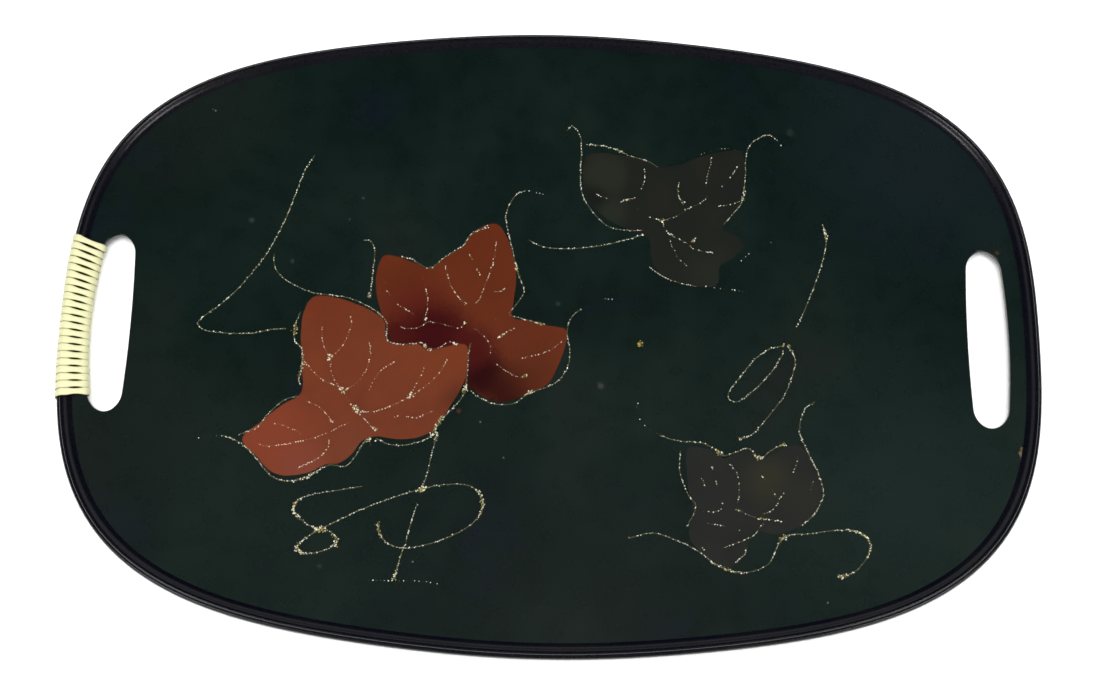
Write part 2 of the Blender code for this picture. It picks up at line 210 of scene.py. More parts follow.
def roundEnd(y):
    # share of the slot's half width that is left at y, inside its round ends
    past = max(0.0, abs(y) - (slotSet["length"] / 2 - slotSet["endRadius"]))
    return math.sqrt(max(0.0, 1 - (past / slotSet["endRadius"]) ** 2))


def slotRing(side, height):
    radius = slotSet["endRadius"]
    reach = slotSet["length"] / 2 - radius
    endSteps, sideSteps = slotSet["endSteps"], slotSet["sideSteps"]
    plan = []
    for half in (1, -1):
        for step in range(endSteps + 1):
            turn = math.pi * step / endSteps
            plan.append((half * math.cos(turn), half * (reach + radius * math.sin(turn))))
        for step in range(1, sideSteps):
            plan.append((-half, half * reach * (1 - 2 * step / sideSteps)))
    return [Vector((side * (slotMiddle(y, side) + slotHalfWidth(y, side) * across), y, height))
            for across, y in plan]


def gripEdgeX(y):
    return slotMiddle(y, -1) + slotHalfWidth(y, -1) * roundEnd(y)


def addRing(bm, points):
    verts = [bm.verts.new(point) for point in points]
    return [bm.edges.new((verts[index - 1], verts[index])) for index in range(len(verts))]


def finishPiece(name, bm, material, replaced, smoothAngle=35.0):
    bmesh.ops.remove_doubles(bm, verts=bm.verts, dist=1e-7)
    bmesh.ops.recalc_face_normals(bm, faces=bm.faces)
    return placePiece(name, bm, material, replaced, smoothAngle)


def placePiece(name, bm, material, replaced, smoothAngle=35.0):
    mesh = bpy.data.meshes.new(name)
    bm.to_mesh(mesh)
    bm.free()
    mesh.materials.append(material)
    for face in mesh.polygons:
        face.use_smooth = True
    mesh.set_sharp_from_angle(angle=math.radians(smoothAngle))
    piece = bpy.data.objects.new(name, mesh)
    bpy.context.scene.collection.objects.link(piece)
    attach(piece, "root")
    if replaced:
        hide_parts(*replaced)
    return piece


def tintPatches(tree, place, colour, patches, ragged, raggedness):
    # lays soft-edged patches of other colours over a colour socket
    for x, y, radius, soft, tint, strength in patches:
        away = addNode(tree, "ShaderNodeVectorMath",
                       {"operation": "DISTANCE", 1: (x * mm, y * mm, panelTop)}, {0: place})
        uneven = addNode(tree, "ShaderNodeMath", {"operation": "MULTIPLY_ADD", 1: raggedness * radius * mm},
                         {0: ragged, 2: away.outputs["Value"]})
        shift = raggedness * radius * mm / 2
        mask = addNode(tree, "ShaderNodeMapRange", {
            "interpolation_type": "SMOOTHSTEP", "From Min": radius * mm * (1 - soft) + shift,
            "From Max": radius * mm * (1 + soft * 0.4) + shift, "To Min": strength, "To Max": 0.0},
            {"Value": uneven.outputs["Value"]})
        mixed = addNode(tree, "ShaderNodeMix", {"data_type": "RGBA", 7: linear(tint)},
                        {0: mask.outputs["Result"], 6: colour})
        colour = mixed.outputs[2]
    return colour


# pressed panel: green-black lacquer brushed over wood fibre, cured glossy but dulled by use

panelSet = dict(thick=4.0 * mm, edgeInset=7.7 * mm, slotRound=0.9 * mm, plateauInset=52.0 * mm,
                plateauRound=1.2 * mm, blotch=85 * mm, mottle=11 * mm, orangePeel=1.6 * mm)
panelMarksAndPaintedSheen = [
    # (x, y, radius, soft share, colour, strength): scuffs, dust and chips, and broad lighter patches toward
    # the sides and the near side, which are painted sheen
    (-156.3, 56.6, 1.7, 0.9, "#252d28", 0.6),
    (-134.0, 34.5, 1.4, 0.9, "#222925", 0.6),
    (26.3, -29.0, 2.0, 0.9, "#2b302b", 0.6),
    (4.0, 14.0, 1.4, 0.8, "#212724", 0.6),
    (125.0, 111.5, 2.2, 0.9, "#1d2625", 0.7),
    (-110.5, -123.0, 1.4, 0.9, "#1f2421", 0.7),
    (-180.0, 118.0, 0.5, 0.6, "#7c7e6f", 0.9),
    (-181.5, 118.8, 0.4, 0.6, "#64675f", 0.8),
    (-99.0, 70.0, 0.9, 0.8, "#182a30", 0.8),
    (-105.5, 58.0, 0.7, 0.8, "#182a30", 0.8),
    (-34.0, -49.0, 0.5, 0.6, "#50554c", 0.8),
    (-22.0, -67.0, 0.5, 0.6, "#424740", 0.8),
    (-65.0, -120.0, 0.5, 0.6, "#4c5049", 0.8),
    (138.0, -136.0, 0.5, 0.6, "#4c5049", 0.8),
    (-45.0, -43.5, 1.3, 0.8, "#3f1c0c", 0.7),
    (230.8, 46.3, 1.3, 0.5, "#331f11", 0.95),
    # broad lighter patches toward the sides and the near side: painted sheen of the lacquer, not a change of
    # its colour
    (-205.0, 125.0, 62.0, 0.9, "#0e1311", 0.7),
    (195.0, 105.0, 75.0, 0.9, "#0c1418", 0.75),
    (-222.0, -60.0, 60.0, 0.9, "#101412", 0.6),
    (20.0, -150.0, 90.0, 0.9, "#0f1210", 0.4),
    (185.0, -75.0, 72.0, 0.9, "#111c19", 0.65),
    (-150.0, -85.0, 62.0, 0.9, "#0e1714", 0.5),
    (237.4, -57.5, 1.2, 0.5, "#423827", 0.95),
    (237.2, -60.0, 1.7, 0.5, "#504430", 0.95),
    (236.9, -62.8, 1.0, 0.5, "#3a3125", 0.95),
]


def makeLacquer():
    # satin lacquer: a dark body with slow shifts towards green, navy and brown, and a faint orange peel
    material, tree, shader = newMaterial("brushedGreenBlackLacquer")
    coords = addNode(tree, "ShaderNodeTexCoord")
    place = coords.outputs["Object"]
    blotch = addNode(tree, "ShaderNodeTexNoise",
                     {"Scale": 1 / panelSet["blotch"], "Detail": 3.0, "Roughness": 0.55}, {"Vector": place})
    body = rampStops(addNode(tree, "ShaderNodeValToRGB", links={"Fac": blotch.outputs["Fac"]}), [
        (0.30, "#080e15"), (0.40, "#050f0c"), (0.52, "#07120f"), (0.62, "#0a1411"), (0.74, "#0e1310"),
    ])
    mottle = addNode(tree, "ShaderNodeTexNoise",
                     {"Scale": 1 / panelSet["mottle"], "Detail": 4.0, "Roughness": 0.6}, {"Vector": place})
    tone = addNode(tree, "ShaderNodeMapRange",
                   {"From Min": 0.3, "From Max": 0.7, "To Min": 0.9, "To Max": 1.1},
                   {"Value": mottle.outputs["Fac"]})
    shaded = addNode(tree, "ShaderNodeVectorMath", {"operation": "SCALE"},
                     {0: body.outputs["Color"], "Scale": tone.outputs["Result"]})
    colour = shaded.outputs["Vector"]
    ragged = addNode(tree, "ShaderNodeTexNoise", {"Scale": 1 / (1.1 * mm), "Detail": 2.0}, {"Vector": place})
    # scuffs, dust and chips, and broad patches of painted sheen toward the sides and the near side
    colour = tintPatches(tree, place, colour, panelMarksAndPaintedSheen, ragged.outputs["Fac"], 1.4)
    tree.links.new(colour, shader.inputs["Base Color"])
    gloss = addNode(tree, "ShaderNodeMapRange",
                    {"From Min": 0.35, "From Max": 0.65, "To Min": 0.26, "To Max": 0.31},
                    {"Value": mottle.outputs["Fac"]})
    tree.links.new(gloss.outputs["Result"], shader.inputs["Roughness"])
    peel = addNode(tree, "ShaderNodeTexNoise", {"Scale": 1 / panelSet["orangePeel"], "Detail": 2.0},
                   {"Vector": place})
    bump = addNode(tree, "ShaderNodeBump", {"Strength": 0.15, "Distance": 0.03 * mm},
                   {"Height": peel.outputs["Fac"]})
    tree.links.new(bump.outputs["Normal"], shader.inputs["Normal"])
    shader.inputs["IOR"].default_value = 1.5
    return material


def buildPanel():
    bm = bmesh.new()
    bottom = panelTop - panelSet["thick"]
    outline = addRing(bm, ovalRing(panelSet["edgeInset"], panelTop))
    slots = [addRing(bm, slotRing(side, panelTop)) for side in (-1, 1)]
    topEdges = outline + slots[0] + slots[1]
    bmesh.ops.triangle_fill(bm, edges=topEdges, use_beauty=True)
    walls = bmesh.ops.extrude_edge_only(bm, edges=topEdges)["geom"]
    lower = [item for item in walls if isinstance(item, bmesh.types.BMVert)]
    lowerEdges = [item for item in walls if isinstance(item, bmesh.types.BMEdge)]
    lowerEdges = [edge for edge in lowerEdges if all(vert in set(lower) for vert in edge.verts)]
    bmesh.ops.translate(bm, verts=lower, vec=(0, 0, -panelSet["thick"]))
    plateau = addRing(bm, ovalRing(panelSet["plateauInset"], bottom))
    bmesh.ops.triangle_fill(bm, edges=lowerEdges + plateau, use_beauty=True)
    foot = bmesh.ops.extrude_edge_only(bm, edges=plateau)["geom"]
    footVerts = [item for item in foot if isinstance(item, bmesh.types.BMVert)]
    bmesh.ops.translate(bm, verts=footVerts, vec=(0, 0, -bottom))
    footEdges = [item for item in foot if isinstance(item, bmesh.types.BMEdge)
                 and all(vert in set(footVerts) for vert in item.verts)]
    bmesh.ops.contextual_create(bm, geom=footEdges)
    bm.normal_update()
    slotEdges = [edge for edge in bm.edges
                 if abs(edge.verts[0].co.z - edge.verts[1].co.z) < 1e-6
                 and all(isOnSlot(vert.co) for vert in edge.verts)
                 and any(abs(face.normal.z) < 0.5 for face in edge.link_faces)]
    bmesh.ops.bevel(bm, geom=slotEdges, offset=panelSet["slotRound"], segments=4, affect="EDGES",
                    profile=0.5, material=-1)
    bmesh.ops.bevel(bm, geom=[edge for edge in bm.edges if all(vert.co.z < 1e-6 for vert in edge.verts)],
                    offset=panelSet["plateauRound"], segments=3, affect="EDGES", profile=0.5, material=-1)
    return finishPiece("lacqueredPanel", bm, makeLacquer(), ["pressed_panel"])


def isOnSlot(point):
    if abs(point.y) > slotSet["length"] / 2 + 1e-5:
        return False
    side = 1 if point.x > 0 else -1
    half = slotHalfWidth(point.y, side) * roundEnd(point.y)
    return abs(abs(abs(point.x) - slotMiddle(point.y, side)) - half) < 0.05 * mm


buildPanel()
print("panel built")


# rim: moulded wood fibre under blue-black gloss lacquer, with a bead and a groove round the outside

rimSet = dict(
    section=[
        # (inset, height) from the lip on the panel, over the crest, down the outside and back under
        (8.0, 8.53), (7.6, 8.62), (7.0, 8.80), (6.3, 9.10), (5.6, 9.56), (5.0, 10.15), (4.5, 10.75),
        (4.0, 11.22), (3.5, 11.50), (3.0, 11.60), (2.6, 11.52), (2.3, 11.25), (2.15, 10.85), (2.1, 10.3),
        (2.05, 9.85), (1.85, 9.62), (1.5, 9.66), (1.0, 9.55), (0.55, 9.22), (0.2, 8.65), (0.02, 7.9),
        (0.03, 7.1), (0.25, 6.2), (0.7, 5.3), (1.4, 4.55), (2.4, 3.9), (3.8, 3.4), (5.6, 3.1), (8.0, 3.0),
        (11.0, 3.0), (11.0, 4.3), (7.5, 4.3), (7.5, 8.51),
    ],
    orangePeel=1.2 * mm,
)


def makeRimLacquer():
    # gloss lacquer: almost black with a blue cast, softly pitted where hands have rubbed it
    material, tree, shader = newMaterial("glossBlueBlackLacquer")
    coords = addNode(tree, "ShaderNodeTexCoord")
    place = coords.outputs["Object"]
    cloud = addNode(tree, "ShaderNodeTexNoise", {"Scale": 1 / (40 * mm), "Detail": 3.0}, {"Vector": place})
    body = rampStops(addNode(tree, "ShaderNodeValToRGB", links={"Fac": cloud.outputs["Fac"]}), [
        (0.35, "#030309"), (0.5, "#04040a"), (0.7, "#07070b"),
    ])
    tree.links.new(body.outputs["Color"], shader.inputs["Base Color"])
    peel = addNode(tree, "ShaderNodeTexNoise", {"Scale": 1 / rimSet["orangePeel"], "Detail": 3.0},
                   {"Vector": place})
    gloss = addNode(tree, "ShaderNodeMapRange",
                    {"From Min": 0.35, "From Max": 0.65, "To Min": 0.26, "To Max": 0.34},
                    {"Value": peel.outputs["Fac"]})
    tree.links.new(gloss.outputs["Result"], shader.inputs["Roughness"])
    bump = addNode(tree, "ShaderNodeBump", {"Strength": 0.12, "Distance": 0.03 * mm},
                   {"Height": peel.outputs["Fac"]})
    tree.links.new(bump.outputs["Normal"], shader.inputs["Normal"])
    shader.inputs["IOR"].default_value = 1.52
    return material


def buildRim():
    bm = bmesh.new()
    rings = [addRing(bm, ovalRing(inset * mm, height * mm)) for inset, height in rimSet["section"]]
    for before, after in zip(rings, rings[1:] + rings[:1]):
        bmesh.ops.bridge_loops(bm, edges=before + after)
    return finishPiece("rimMoulding", bm, makeRimLacquer(),
                       ["rim_left_grip", "rim_right_grip", "rim_far_side", "rim_near_side"], 50.0)


buildRim()
print("rim built")


# cane wrap: one strand of split cane, pulled tight round the left grip

wrapSet = dict(turns=22, stepsPerTurn=44, acrossSteps=6, lift=0.5 * mm, crown=0.28 * mm, thick=0.4 * mm,
               slotStart=39.7 * mm, slotEnd=-40.3 * mm, rimStart=46.6 * mm, rimEnd=-40.8 * mm,
               patternPerTurn=46 * mm, tail=0.35)      # tail: share of the last turn that is out of sight


def wrapSection(slotY, rimY):
    # corner points of the grip's outline with clearance, as (inset, height)
    edgeInset = rimX(rimY) - gripEdgeX(abs(slotY) + 1.5 * mm) + 0.3 * mm
    return [(edgeInset, 4.2 * mm), (edgeInset, 8.75 * mm), (3.9 * mm, 11.75 * mm), (2.5 * mm, 11.7 * mm),
            (0.9 * mm, 10.0 * mm), (-0.1 * mm, 8.4 * mm), (-0.15 * mm, 6.4 * mm), (1.1 * mm, 4.4 * mm),
            (3.2 * mm, 3.3 * mm), (6.0 * mm, 2.9 * mm), (11.0 * mm, 2.8 * mm)]


def roundCorners(points, rounds=2):
    for _ in range(rounds):
        cut = []
        for index, point in enumerate(points):
            after = points[(index + 1) % len(points)]
            cut.append(point.lerp(after, 0.2))
            cut.append(point.lerp(after, 0.8))
        points = cut
    return points


def wrapPlace(travel):
    # position, outward normal and share across the grip for a number of turns travelled
    advance = travel / wrapSet["turns"]
    slotY = wrapSet["slotStart"] + (wrapSet["slotEnd"] - wrapSet["slotStart"]) * advance
    rimY = wrapSet["rimStart"] + (wrapSet["rimEnd"] - wrapSet["rimStart"]) * advance
    corners = [Vector((inset, height)) for inset, height in wrapSection(slotY, rimY)]
    loop = roundCorners(corners)
    lengths = [(loop[(i + 1) % len(loop)] - loop[i]).length for i in range(len(loop))]
    target = (travel % 1.0) * sum(lengths)
    index = 0
    while target > lengths[index] and index < len(loop) - 1:
        target -= lengths[index]
        index += 1
    start, end = loop[index], loop[(index + 1) % len(loop)]
    spot = start.lerp(end, min(1.0, target / lengths[index]))
    along = (end - start).normalized()
    share = min(1.0, max(0.0, spot.x / corners[0].x))
    y = rimY + (slotY - rimY) * share
    return Vector((spot.x - rimX(rimY), y, spot.y)), Vector((along.y, 0, -along.x)), share


def strandHalfWidth(travel, share, onTop):
    pitch = (wrapSet["rimStart"] - wrapSet["rimEnd"]) / wrapSet["turns"]
    wobble = 1 + 0.05 * noise.noise(Vector((travel * 1.7, 3.1, 0)))
    advance = travel / wrapSet["turns"]
    gap = 0.05 - 0.07 * advance
    if onTop:
        start, end = 0.26 + 0.14 * advance, 0.95 - 0.05 * advance
        bulge = math.sin(math.pi * min(1.0, max(0.0, (share - start) / (end - start))))
        gap += 0.27 * max(0.0, bulge) ** 0.9
    return pitch * (1 - gap) * wobble / 2


def makeCane():
    # split cane: pale straw with fine fibres running along the strand, darker olive-brown towards its edges,
    # partly the cut edges' own colour and partly painted shade in the gaps between turns
    material, tree, shader = newMaterial("splitCane")
    coords = addNode(tree, "ShaderNodeUVMap", {"uv_map": "alongStrand"})
    stretched = addNode(tree, "ShaderNodeMapping", {"Scale": (5.0, 0.35 / (4 * mm), 1.0)},
                        {"Vector": coords.outputs["UV"]})
    fibres = addNode(tree, "ShaderNodeTexNoise", {"Scale": 3.0, "Detail": 4.0, "Roughness": 0.6},
                     {"Vector": stretched.outputs["Vector"]})
    tint = rampStops(addNode(tree, "ShaderNodeValToRGB", links={"Fac": fibres.outputs["Fac"]}), [
        (0.25, "#9f9b6c"), (0.45, "#bab992"), (0.7, "#c3c3a1"),
    ])
    split = addNode(tree, "ShaderNodeSeparateXYZ", links={0: coords.outputs["UV"]})
    side = addNode(tree, "ShaderNodeMath", {"operation": "ABSOLUTE"}, {0: split.outputs["X"]})
    # darker towards the strand's edges: partly the cut edges' colour, partly painted shade where the turns
    # meet
    edge = addNode(tree, "ShaderNodeMapRange",
                   {"interpolation_type": "SMOOTHSTEP", "From Min": 0.78, "From Max": 1.0},
                   {"Value": side.outputs["Value"]})
    colour = addNode(tree, "ShaderNodeMix", {"data_type": "RGBA", 7: linear("#8a7f4f")},
                     {0: edge.outputs["Result"], 6: tint.outputs["Color"]})
    tree.links.new(colour.outputs[2], shader.inputs["Base Color"])
    bump = addNode(tree, "ShaderNodeBump", {"Strength": 0.4, "Distance": 0.08 * mm},
                   {"Height": fibres.outputs["Fac"]})
    tree.links.new(bump.outputs["Normal"], shader.inputs["Normal"])
    shader.inputs["Roughness"].default_value = 0.48
    return material


def buildWrap():
    bm = bmesh.new()
    steps = wrapSet["turns"] * wrapSet["stepsPerTurn"]
    across = wrapSet["acrossSteps"]
    bmesh.ops.create_grid(bm, x_segments=steps, y_segments=across, size=1.0)
    uv = bm.loops.layers.uv.new("alongStrand")
    for vert in bm.verts:
        for loop in vert.link_loops:
            loop[uv].uv = (vert.co.y, (vert.co.x + 1) / 2 * wrapSet["turns"] * wrapSet["patternPerTurn"])
    stations = {}
    for step in range(steps + 1):
        travel = (wrapSet["turns"] - wrapSet["tail"]) * step / steps
        place, outward, share = wrapPlace(travel)
        ahead = wrapPlace(min(wrapSet["turns"] - 1e-6, travel + 0.004))[0]
        behind = wrapPlace(max(0.0, travel - 0.004))[0]
        forward = (ahead - behind).normalized()
        outward = (outward - forward * outward.dot(forward)).normalized()
        stations[step] = (place, outward, outward.cross(forward).normalized(), share, travel)
    for vert in bm.verts:
        step = round((vert.co.x + 1) / 2 * steps)
        side = vert.co.y
        place, outward, sideways, share, travel = stations[step]
        half = strandHalfWidth(travel, share, outward.z > 0.2)
        rise = wrapSet["lift"] + wrapSet["crown"] * (1 - side * side)
        vert.co = place + outward * rise + sideways * (side * half)
    piece = placePiece("caneStrand", bm, makeCane(), ["cane_wrap"], 60.0)
    skin = piece.modifiers.new("thickness", "SOLIDIFY")
    skin.thickness = wrapSet["thick"]
    skin.offset = -1.0
    return piece


buildWrap()
print("cane wound")


# painted leaves: thin brushed coats of lacquer, one over the other

leafSet = dict(step=1.1 * mm, wander=0.16 * mm, wanderScale=3.5 * mm)
leafPlans = {
    # outlines in millimetres, seen from above; under and top are heights over the panel
    "paintedLeafFront": dict(node="leaf_front", slot="leaf_orange", under=0.085, top=0.15, outline=[
        (-126, 8), (-121, 15.5), (-110, 15), (-100, 12), (-91, 8), (-85, 3), (-83, -7), (-75, -9.5),
        (-67, -9), (-62, -12), (-54, -10.5), (-47, -8.5), (-42, -10), (-41.5, -22), (-44.5, -32),
        (-50, -42), (-57, -53), (-65, -57.5), (-75, -58.7), (-86, -57.5), (-93, -60), (-98, -67),
        (-104, -71.5), (-110, -72), (-119, -76.5), (-130, -78.3), (-138, -76), (-145, -69), (-153, -60),
        (-143, -50), (-134, -42), (-125, -35.5), (-125.5, -20), (-127, -5),
    ]),
    "paintedLeafBack": dict(node="leaf_back", slot="leaf_red", under=0.01, top=0.07, outline=[
        (-86, 6), (-89.5, 18), (-90, 29), (-87, 38), (-80, 38), (-70, 34.5), (-63, 32), (-55, 38),
        (-46, 44), (-42, 51), (-36, 55.5), (-29, 57), (-24, 51), (-20, 40), (-18, 28), (-19, 15),
        (-19, 6), (-10, 4.8), (-1, 2.3), (8, 0.3), (8, -8), (4, -20), (-1, -29), (-9, -33), (-16, -36.5),
        (-24, -38.5), (-32, -36.5), (-39, -32), (-50, -25), (-60, -22), (-76, -18),
    ]),
    "paintedLeafUpper": dict(node="leaf_dark_upper", slot="leaf_bronze", under=0.01, top=0.05, outline=[
        (17.5, 96), (25, 98), (36, 96.5), (46, 95), (55, 91), (66, 92), (77, 96.5), (88, 99.5), (99, 100),
        (100.3, 88), (99, 74), (94, 64), (89, 57), (96, 52.5), (100, 48), (94, 40.5), (87, 36),
        (85.5, 26), (74, 24.8), (64, 27), (56, 31.5), (51.5, 40), (50, 51), (38, 56), (27, 62), (19, 72),
        (15.5, 84),
    ]),
    "paintedLeafLower": dict(node="leaf_dark_lower", slot="leaf_bronze", under=0.01, top=0.05, outline=[
        (70, -61), (78, -60.3), (84, -61.5), (88, -65.5), (95, -62), (101, -61), (106, -66), (112, -63),
        (120, -58.5), (126, -58), (131, -64), (136, -75), (136, -86), (129, -96), (120, -101), (112, -103),
        (104, -101), (100, -105), (98.5, -112), (92, -119), (83, -117.5), (75, -111.5), (70.5, -104),
        (72.5, -92), (70, -78),
    ]),
}
paints = {
    # stops: the coat's slow tone shifts; patches: (x, y, radius, soft share, colour, strength)
    "paintedLeafFront": dict(name="orangeLacquerPaint", rough=0.28, sponged=False, stops=[
        (0.30, "#4b1d08"), (0.5, "#502009"), (0.7, "#54220a")], patches=[
        (-112, 8, 20, 0.9, "#4d1c06", 0.8),
        (-50, -16, 20, 0.9, "#532004", 0.8),
        (-138, -58, 26, 0.8, "#5d240e", 0.85),
        (-46, -37, 9, 0.9, "#381405", 0.7),
        (-122, -74, 15, 0.9, "#592719", 0.8),
        (-98, -62, 13, 0.9, "#512412", 0.7),
    ]),
    "paintedLeafBack": dict(name="redLacquerPaint", rough=0.28, sponged=True, stops=[
        (0.30, "#421702"), (0.5, "#451803"), (0.7, "#491a03")], patches=[
        (-68, 8, 20, 0.8, "#3b0903", 0.75),
        (-58, -6, 20, 0.5, "#280002", 1.0),
        (-78, -6, 12, 0.6, "#2c0202", 0.9),
        (-34, -24, 15, 0.6, "#1b0001", 1.0),
        (-40, -10, 14, 0.6, "#300302", 0.9),
        (-20, -33, 15, 0.7, "#200301", 1.0),
        (-8, -24, 16, 0.9, "#3a1302", 0.7),
    ]),
    "paintedLeafUpper": dict(name="bronzeWashUpper", rough=0.28, sponged=False, stops=[
        (0.30, "#101310"), (0.5, "#121410"), (0.7, "#161612")], patches=[
        (27, 86, 13, 0.5, "#191b14", 0.9),
        (31, 65, 9, 0.7, "#171b14", 0.9),
        (80, 34, 12, 0.9, "#161a13", 0.7),
        (21, 73, 8, 0.7, "#0c0d0b", 0.7),
    ]),
    "paintedLeafLower": dict(name="bronzeWashLower", rough=0.28, sponged=False, stops=[
        (0.30, "#141512"), (0.5, "#161714"), (0.7, "#181916")], patches=[
        (110, -76, 13, 0.9, "#1e1e13", 0.8),
        (128, -84, 12, 0.9, "#1a1b17", 0.6),
    ]),
}


def smoothRoute(points, step, closed=False):
    # an even walk along a smooth curve through the points, as (place, direction)
    knots = [Vector((x * mm, y * mm, 0)) for x, y in points]
    if not closed:
        knots = [2 * knots[0] - knots[1]] + knots + [2 * knots[-1] - knots[-2]]
    count = len(knots)
    dense = []
    for index in range(count if closed else count - 3):
        a, b, c, d = (knots[(index + offset) % count] for offset in range(4))
        pieces = max(2, int((c - b).length / (0.15 * mm)))
        for piece in range(pieces):
            t = piece / pieces
            dense.append(0.5 * (2 * b + (c - a) * t + (2 * a - 5 * b + 4 * c - d) * t * t
                                + (3 * b - 3 * c + d - a) * t * t * t))
    dense.append(dense[0] if closed else knots[-2])
    route, travelled = [], 0.0
    for before, after in zip(dense, dense[1:]):
        length = (after - before).length
        if travelled <= 0 and length > 0:
            route.append((before, (after - before) / length))
            travelled += step
        travelled -= length
    return route


def makePaint(name, rough, sponged, stops, patches):
    # brushed paint: even colour with faint cloudiness, sponged where one coat was dabbed over another
    material, tree, shader = newMaterial(name)
    place = addNode(tree, "ShaderNodeTexCoord").outputs["Object"]
    cloud = addNode(tree, "ShaderNodeTexNoise", {"Scale": 1 / (14 * mm), "Detail": 4.0, "Roughness": 0.6},
                    {"Vector": place})
    tone = rampStops(addNode(tree, "ShaderNodeValToRGB", links={"Fac": cloud.outputs["Fac"]}), stops)
    dabSize, raggedness = (0.9 * mm, 1.5) if sponged else (6 * mm, 0.5)
    dabs = addNode(tree, "ShaderNodeTexNoise", {"Scale": 1 / dabSize, "Detail": 3.0, "Roughness": 0.7},
                   {"Vector": place})
    colour = tintPatches(tree, place, tone.outputs["Color"], patches, dabs.outputs["Fac"], raggedness)
    tree.links.new(colour, shader.inputs["Base Color"])
    shader.inputs["Roughness"].default_value = rough
    fine = addNode(tree, "ShaderNodeTexNoise", {"Scale": 1 / (1.3 * mm), "Detail": 2.0}, {"Vector": place})
    bump = addNode(tree, "ShaderNodeBump", {"Strength": 0.06, "Distance": 0.03 * mm},
                   {"Height": fine.outputs["Fac"]})
    tree.links.new(bump.outputs["Normal"], shader.inputs["Normal"])
    return material


def buildLeaf(name, node, slot, under, top, outline):
    bm = bmesh.new()
    points = []
    for place, along in smoothRoute(outline, leafSet["step"], closed=True):
        drift = noise.noise(place / leafSet["wanderScale"]) * leafSet["wander"]
        points.append(Vector((place.x - along.y * drift, place.y + along.x * drift, panelTop + under * mm)))
    edges = addRing(bm, points)
    coat = bmesh.ops.triangle_fill(bm, edges=edges, use_beauty=True)["geom"]
    faces = [item for item in coat if isinstance(item, bmesh.types.BMFace)]
    raised = bmesh.ops.extrude_face_region(bm, geom=faces, use_keep_orig=True)["geom"]
    verts = [item for item in raised if isinstance(item, bmesh.types.BMVert)]
    bmesh.ops.translate(bm, verts=verts, vec=(0, 0, (top - under) * mm))
    return finishPiece(name, bm, makePaint(**paints[name]), [node])


for name, plan in leafPlans.items():
    buildLeaf(name, **plan)
print("leaves painted")


# glitter paste: a bead of glue strewn with coarse grains

# the bright grains' pale tones are painted glints: light colour in place of metal grains catching the light
pasteSet = dict(grainStep=0.56 * mm, dullSize=(0.14 * mm, 0.3 * mm), brightSize=(0.26 * mm, 0.5 * mm),
                brightShare=0.46, caughtShare=0.88, pileUp=2.2, spread=0.24 * mm, beadHalf=0.34 * mm,
                beadHeight=0.22 * mm, sunk=0.02 * mm, glueStep=0.8 * mm, seed=11,
                glueTone=0.06, dullTone=(0.1, 0.5), brightTone=(0.66, 0.83), giltTone=(0.84, 1.0))
veinSet = dict(weight=0.78, density=0.8, seed=100)
dotSet = dict(weight=0.3, density=0.3, seed=200)
thickPlaces = [
    # (x, y, reach, fullness): where the tube was held still and the paste piled up
    (-131, -2, 3.6, 1.6), (-93, 15, 3.4, 1.8), (-125, -95.5, 8.0, 1.1), (-112, -105, 4.0, 1.2),
    (-103, -110, 5.0, 1.2), (-121, -116, 5.0, 1.2), (-82, -104, 7.0, 1.1), (-32, -90, 9.0, 1.0),
    (-62, -84, 3.2, 1.4), (-74, -128, 5.5, 1.2), (-54, -49, 4.5, 1.6), (-55.5, -55, 4.5, 1.6),
    (-89, -58, 4.5, 1.5), (-42, -32, 3.4, 1.4), (-10, -33, 3.8, 1.3), (-18, 33, 4.5, 1.1),
    (-4, 3.5, 3.8, 1.3), (-33, 55, 4.0, 1.1), (49, 52, 3.4, 1.5), (34, 98, 3.6, 1.3),
    (99.5, 75, 4.5, 1.0), (142, 54, 4.5, 1.2), (121, -4.5, 3.2, 1.8), (96, -55, 3.2, 1.4),
    (86, -62, 3.2, 1.6), (105.5, -64.5, 3.2, 1.7), (119, -57, 3.2, 1.9), (117, -105, 3.6, 1.3),
    (155, -102, 6.0, 1.1), (145, -123, 4.5, 1.4), (-62.5, -11, 3.0, 1.6), (-47, -9, 2.8, 1.4),
    (158.5, -108, 8.0, 0.8), (88, -121, 11.0, 0.7), (-120, -79, 9.0, 0.6), (-126, -22, 7.0, 0.6),
    (-104, -34, 2.6, 1.9), (-97, -44, 3.0, 2.2), (-86.5, -54.5, 2.8, 1.9), (-111.5, -16.5, 2.4, 1.6),
    (-70, -36, 2.6, 1.8), (-108, -51, 2.6, 1.8), (-64, 4, 2.4, 1.8), (-43.5, 4, 2.4, 2.0),
    (-43, 12, 2.6, 1.6), (-25, -4, 2.4, 1.8), (-12, -24.5, 2.4, 1.6), (39, 71.5, 2.2, 1.8),
    (57, 60.5, 2.4, 1.8), (62, 52.5, 2.4, 1.4), (68.5, 70, 2.2, 1.6), (73, 49, 2.0, 1.6),
    (95, -90, 2.6, 1.5), (107, -95, 3.0, 1.2),
]
